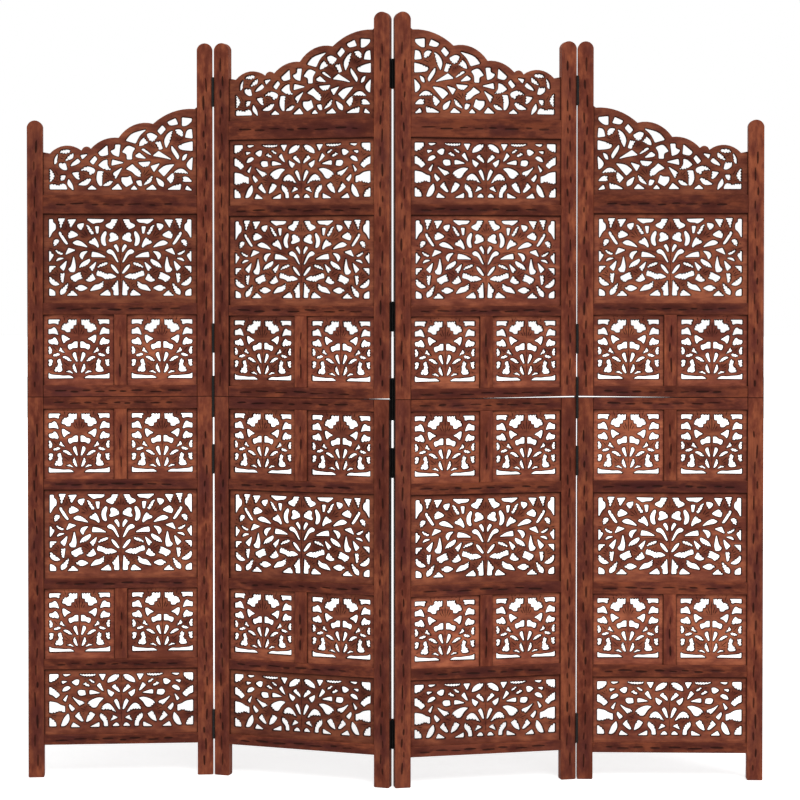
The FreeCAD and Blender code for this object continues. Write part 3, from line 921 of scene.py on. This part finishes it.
def wood(name, dark, middle, light, purple_share, grain_scale):
    """Stained wood: mottled stain, grain along the piece, dark cuts, painted shade in openings, along the
    frame and at the split, and rubbed edges.
    """
    material, nodes = new_material(name)
    place = nodes.add("ShaderNodeTexCoord").outputs["Object"]
    piece = nodes.add("ShaderNodeObjectInfo").outputs
    piece_seed = scaled(nodes, piece["Random"], 0, 40)

    def noise(scale, stretch, detail):
        vector = nodes.add("ShaderNodeMapping", {"Vector": place, "Scale": stretch}).outputs["Vector"]
        return nodes.add("ShaderNodeTexNoise", {
            "Vector": vector, "W": piece_seed, "Scale": scale, "Detail": detail, "Roughness": 0.6},
            noise_dimensions="4D").outputs["Fac"]

    drawn_out = tuple(0.35 + 0.65 * value for value in grain_scale)
    patches = noise(9, drawn_out, 2)
    flecks = noise(70, drawn_out, 3)
    grain = noise(260, grain_scale, 4)
    pores = noise(900, grain_scale, 2)
    mottle = nodes.add("ShaderNodeMix", {0: 0.55, 2: patches, 3: flecks}).outputs[0]
    stained = ramp(nodes, mottle, ((0.41, dark), (0.49, middle), (0.59, light)))
    purple = scaled(nodes, noise(17, drawn_out, 3), -1.6, 2.0)
    tinted = mixed(nodes, product(nodes, purple, purple_share), stained, purple_stain)
    streaked = mixed(nodes, scaled(nodes, grain, -0.5, 0.8), tinted, tuple(0.6 * value for value in dark))
    toned = mixed(nodes, 1.0, streaked, piece["Color"], "MULTIPLY")
    rubbed = nodes.add("ShaderNodeAttribute", attribute_name="wear").outputs["Fac"]
    worn = mixed(nodes, scaled(nodes, product(nodes, rubbed, flecks), 0.0, 0.7), toned,
                 tuple(1.2 * value for value in light))
    # Dark stain in cuts, and painted shade in openings, along the frame and at the split
    cut = nodes.add("ShaderNodeAttribute", attribute_name="stain_and_shade").outputs["Fac"]
    darkness = nodes.add("ShaderNodeMapRange", {
        "Value": cut, "From Min": 0.15, "From Max": 0.65, "To Max": 0.92}).outputs[0]
    shaded = mixed(nodes, darkness, worn, cut_stain_and_shade)
    bump = bumped(nodes, computed(nodes, "ADD", grain, pores), 0.35, 0.0005)
    shader = nodes.add("ShaderNodeBsdfPrincipled", {
        "Base Color": shaded, "Roughness": scaled(nodes, grain, 0.40, 0.64), "Normal": bump,
        "Specular IOR Level": 0.04})
    nodes.add("ShaderNodeOutputMaterial", {"Surface": shader.outputs[0]})
    return material


def panel_wood(kind):
    """Wood of one kind of fretwork panel, which may be lighter or darker than the others."""
    tones = [tuple(kind_tones[kind] * value for value in tone) for tone in panel_tones]
    return wood(kind + "_wood", *tones, 0.4, along_width)


def black_iron():
    """Blackened iron with brown bloom and rubbed spots."""
    material, nodes = new_material("black_iron_finish")
    place = nodes.add("ShaderNodeTexCoord").outputs["Object"]
    bloom = nodes.add("ShaderNodeTexNoise", {"Vector": place, "Scale": 160, "Detail": 4}).outputs["Fac"]
    pits = nodes.add("ShaderNodeTexNoise", {"Vector": place, "Scale": 1400, "Detail": 2}).outputs["Fac"]
    colour = ramp(nodes, bloom, ((0.35, (0.005, 0.005, 0.005)), (0.62, (0.010, 0.009, 0.008)),
                                 (0.80, (0.035, 0.028, 0.024))))
    bump = bumped(nodes, pits, 0.3, 0.0003)
    shader = nodes.add("ShaderNodeBsdfPrincipled", {
        "Base Color": colour, "Roughness": scaled(nodes, bloom, 0.45, 0.70), "Normal": bump,
        "Specular IOR Level": 0.15})
    nodes.add("ShaderNodeOutputMaterial", {"Surface": shader.outputs[0]})
    return material


stile_wood = wood("stile_wood", *stile_tones, 0.8, along_height)
rail_wood = wood("rail_wood", *rail_tones, 0.7, along_width)
panel_woods = {kind: panel_wood(kind) for kind in kind_tones}
iron = black_iron()


def leaf_matrix(leaf):
    """Where a leaf's own frame stands: x along its width, y from front to back, z up."""
    joint, pin = {
        "a": ("fold_ab", (leaf_width + pin_beside, -pin_proud, 0)),
        "b": ("fold_ab", (-pin_beside, -pin_proud, 0)),
        "c": ("fold_bc", (-pin_beside, frame_thickness + pin_proud, 0)),
        "d": ("fold_cd", (-pin_beside, -pin_proud, 0)),
    }[leaf]
    pivot = next(Vector(j["pos_m"]) for j in frame["joints"] if j["name"] == joint)
    pivot.z = 0
    turn = Matrix.Rotation(math.radians(leaf_turns[leaf]), 4, "Z")
    return Matrix.Translation(pivot - turn @ Vector(pin)) @ turn


def put(name, mesh, material, slot, leaf, node, x, y, z):
    """Places a piece in its leaf, in place of the plain solid."""
    piece = bpy.data.objects.new(name, mesh)
    bpy.context.scene.collection.objects.link(piece)
    if not mesh.materials:
        mesh.materials.append(material)
    piece.matrix_world = leaf_matrix(leaf) @ Matrix.Translation((x, y, z))
    leaf_tones = fretwork_tones if slot == "panel_wood" else frame_tones
    tone = leaf_tones[leaf] * random.Random(name + "_tone").uniform(*piece_tones)
    piece.color = (tone, tone, tone, 1)
    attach(piece, "leaf_" + leaf)
    if node:
        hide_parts(node)
    return piece


def courses(start, names, sizes):
    """Heights of the rails, of given sizes, and of the openings of one half of a leaf."""
    rails, openings = [], []
    height = start
    for name, size in zip(names, sizes):
        rails.append((height, size))
        height += size
        openings.append((name, height))
        height += opening_heights[name]
    rails.append((height, sizes[-1]))
    return rails, openings


def add_stiles(leaf):
    right = leaf_width - stile_width
    for half in ("lower", "upper"):
        for side, x in (("left", 0), ("right", right)):
            node = "leaf_" + leaf + "_" + half + "_" + side + "_stile"
            low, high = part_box(node)
            slits = slit(leaf, x), slit(leaf, x + stile_width)
            name = node + "_carved"
            mesh = stile_mesh(name, high.z - low.z, half == "upper", slits, random.Random(node))
            put(name, mesh, stile_wood, "frame_wood", leaf, node, x + stile_width / 2, 0, low.z)


def add_half(leaf, half, rails, openings, counts):
    """Rails, muntins and panels of the lower or upper half of a leaf."""
    prefix = "leaf_" + leaf + "_"
    for index, (height, size) in enumerate(rails):
        name = prefix + half + "_rail_" + str(index + 1)
        split_side = {("upper", 0): -1, ("lower", len(rails) - 1): 1}.get((half, index), 0)
        slits = [0.0] * (slit_steps + 1)
        if split_side < 0:
            pitch = inner_width / slit_steps
            slits = [slit(leaf, stile_width + pitch * step) for step in range(slit_steps + 1)]
        mesh = rail_mesh(name, size, slits, split_side, random.Random(name))
        put(name, mesh, rail_wood, "frame_wood", leaf,
            prefix + half + "_rails", stile_width, 0, height + size / 2)
    for kind, height in openings:
        places = [stile_width]
        if kind == "square":
            places.append(stile_width + square_width + muntin_width)
            counts["muntin"] += 1
            name = prefix + "muntin_" + str(counts["muntin"])
            put(name, muntin_mesh(name, random.Random(name)), stile_wood, "frame_wood", leaf,
                prefix + "muntins", leaf_width / 2, 0, height)
        for x in places:
            counts[kind] += 1
            name = prefix + kind + "_panel_" + str(counts[kind])
            put(name, fretwork[kind], panel_woods[kind], "panel_wood", leaf,
                prefix + kind + "_panels", x, panel_front, height)


def add_leaf(leaf):
    outer = leaf in "ad"
    counts = {"muntin": 0, "square": 0, "tree": 0, "medium": 0}
    lower = ("medium", "square", "tree", "square")
    upper = ("square", "tree") if outer else ("square", "tree", "medium")
    leg_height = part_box("leaf_" + leaf + "_lower_rails")[0].z
    lower_sizes = [bottom_rail_height] + 3 * [rail_heights[leaf][0]] + [split_rail_height]
    upper_sizes = len(upper) * [rail_heights[leaf][1]] + [crest_rail_height]
    lower_rails, lower_openings = courses(leg_height, lower, lower_sizes)
    upper_rails, upper_openings = courses(split_height, upper, upper_sizes)
    add_stiles(leaf)
    add_half(leaf, "lower", lower_rails, lower_openings, counts)
    add_half(leaf, "upper", upper_rails, upper_openings, counts)
    crest = fretwork["crest_left"] if leaf in "ab" else fretwork["crest_right"]
    top_height, top_size = upper_rails[-1]
    put("leaf_" + leaf + "_crest", crest, panel_woods["crest"], "panel_wood", leaf,
        "leaf_" + leaf + "_crest_panel", stile_width, panel_front, top_height + top_size)


def hinge_heights(edge_stile, fold):
    """Middle of each hinge along an edge of a leaf."""
    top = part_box(edge_stile)[1].z
    return (foot_hinge_height, split_height - hinge_below_split,
            split_height + hinge_above_split[fold], top - hinge_below_top[fold])


def screw_head(place, side):
    """Low dome on a hinge plate, facing left or right: its corners and faces."""
    corners = []
    count = hinge_screw_corners
    for radius, rise in ((hinge_screw_radius, 0), (0.6 * hinge_screw_radius, hinge_screw_rise)):
        for step in range(count):
            angle = side * 2 * math.pi * step / count
            offset = (side * rise, radius * math.cos(angle), radius * math.sin(angle))
            corners.append(tuple(Vector(place) + Vector(offset)))
    slope = [(i, (i + 1) % count, count + (i + 1) % count, count + i) for i in range(count)]
    return corners, slope + [tuple(range(count, 2 * count)), tuple(range(count - 1, -1, -1))]


def add_hinge_screws(leaf):
    """Three screws to each hinge plate of a leaf, in one piece."""
    vertices, faces = [], []
    for side, x, word in ((-1, -plate_thickness, "left"), (1, leaf_width + plate_thickness, "right")):
        if (leaf, word) in (("a", "left"), ("d", "right")):
            continue
        centre = (leaf, word) in (("b", "right"), ("c", "left"))
        depth = frame_thickness - plate_width / 2 if centre else plate_width / 2
        edge_stile = "leaf_c_upper_left_stile" if centre else "leaf_b_upper_left_stile"
        for height in hinge_heights(edge_stile, "centre" if centre else "side"):
            for step in (-1, 0, 1):
                corners, loops = screw_head((x, depth, height + step * hinge_screw_pitch), side)
                faces += [tuple(len(vertices) + index for index in loop) for loop in loops]
                vertices += corners
    mesh = bpy.data.meshes.new("leaf_" + leaf + "_hinge_screws")
    mesh.from_pydata(vertices, [], faces)
    put("leaf_" + leaf + "_hinge_screws", mesh, iron, "black_iron", leaf, None, 0, 0, 0)


def finish_iron():
    """The iron parts are the solids themselves, with a finish of their own."""
    for name, node in frame["nodes"].items():
        if any(word in name for word in ("straps", "strap_screws", "hinge")):
            node.data.materials.clear()
            node.data.materials.append(iron)


fretwork = {
    "square": field_panel("square", square_width, square_cuts, square_blossoms, square_stems, tulip_radius),
    "tree": field_panel("tree", inner_width, tree_cuts, tree_blossoms, tree_stems, blossom_radius),
    "medium": field_panel("medium", inner_width, medium_cuts, medium_blossoms, medium_stems, blossom_radius),
    "crest_left": crest_panel("crest_fretwork_left", False),
    "crest_right": crest_panel("crest_fretwork_right", True),
}
for leaf_name in "abcd":
    add_leaf(leaf_name)
    add_hinge_screws(leaf_name)
finish_iron()


def pale_floor():
    """Pale floor, white to the camera where no shadow falls."""
    bpy.ops.mesh.primitive_plane_add(size=floor_size, location=(0, 0, 0))
    floor = bpy.context.object
    floor.name = "floor"
    material, nodes = new_material("pale_floor")
    glow = product(nodes, seen_directly(nodes), floor_glow)
    plain = nodes.add("ShaderNodeBsdfDiffuse", {"Color": floor_colour})
    white = nodes.add("ShaderNodeEmission", {"Color": (1, 1, 1, 1), "Strength": glow})
    both = nodes.add("ShaderNodeAddShader", {0: plain.outputs[0], 1: white.outputs[0]})
    nodes.add("ShaderNodeOutputMaterial", {"Surface": both.outputs[0]})
    floor.data.materials.append(material)


def white_world():
    """Plain soft light all round, white where it is seen directly."""
    world = bpy.data.worlds.new("studio")
    bpy.context.scene.world = world
    world.use_nodes = True
    world.node_tree.nodes.clear()
    nodes = Nodes(world.node_tree)
    strength = scaled(nodes, seen_directly(nodes), world_light, 1.0)
    back = nodes.add("ShaderNodeBackground", {"Color": (1, 1, 1, 1), "Strength": strength})
    nodes.add("ShaderNodeOutputWorld", {"Surface": back.outputs[0]})


def soft_light(name, direction, spread, strength):
    """Light from a wide, far panel, even over the whole floor."""
    lamp = bpy.data.lights.new(name, "SUN")
    lamp.angle = math.radians(spread)
    lamp.energy = strength
    holder = bpy.data.objects.new(name, lamp)
    holder.rotation_euler = Vector(direction).to_track_quat("-Z", "Y").to_euler()
    bpy.context.scene.collection.objects.link(holder)


def photo_camera():
    lens = bpy.data.cameras.new("photo_camera")
    lens.lens = camera_lens
    lens.sensor_width = camera_sensor
    lens.shift_x, lens.shift_y = camera_shift
    camera = bpy.data.objects.new("photo_camera", lens)
    fold = next(Vector(j["pos_m"]) for j in frame["joints"] if j["name"] == "fold_bc")
    camera.location = (fold.x + camera_aside, fold.y - camera_distance, camera_height)
    camera.rotation_euler = (math.radians(90 - camera_tilt), 0, 0)
    bpy.context.scene.collection.objects.link(camera)
    bpy.context.scene.camera = camera


pale_floor()
white_world()
soft_light("key", **key_light)
soft_light("fill", **fill_light)
photo_camera()
bpy.context.scene.view_settings.view_transform = "Standard"
